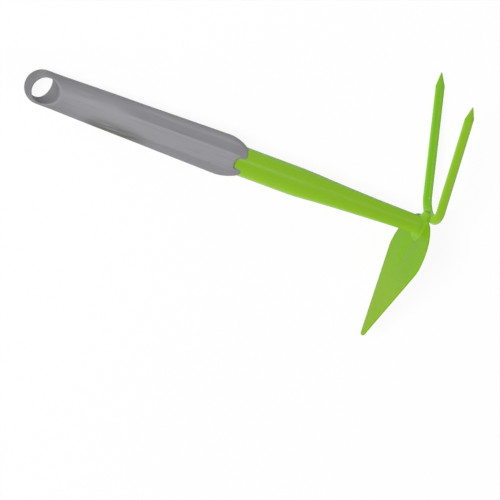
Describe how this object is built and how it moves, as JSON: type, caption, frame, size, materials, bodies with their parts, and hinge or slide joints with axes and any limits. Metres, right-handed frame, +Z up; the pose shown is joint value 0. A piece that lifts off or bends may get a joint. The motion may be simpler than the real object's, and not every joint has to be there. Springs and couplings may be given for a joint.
{
  "type": "triangle hoe",
  "caption": "Hand hoe: pointed triangular blade and a two-pronged fork on one green steel shank, grey moulded grip with a hanging hole.",
  "frame": {"origin": "on the floor, under the middle of the tool's box", "axes": "+X along the handle from the hanging hole to the head, +Y to the side of the prongs, +Z up, across the tool: it lies on the rim of its hanging hole, one edge of the blade and one prong"},
  "size_m": [0.4004, 0.24, 0.0928],
  "materials": {
    "grip_plastic": "fine satin moulded grey plastic",
    "green_enamel": "smooth semi-gloss apple-green powder coat over steel"
  },
  "bodies": {
    "root": {"grip": "grip_plastic", "shank": "green_enamel", "blade": "green_enamel", "prong_fork": "green_enamel", "blade_weld": "green_enamel", "fork_weld": "green_enamel"}
  },
  "joints": []
}
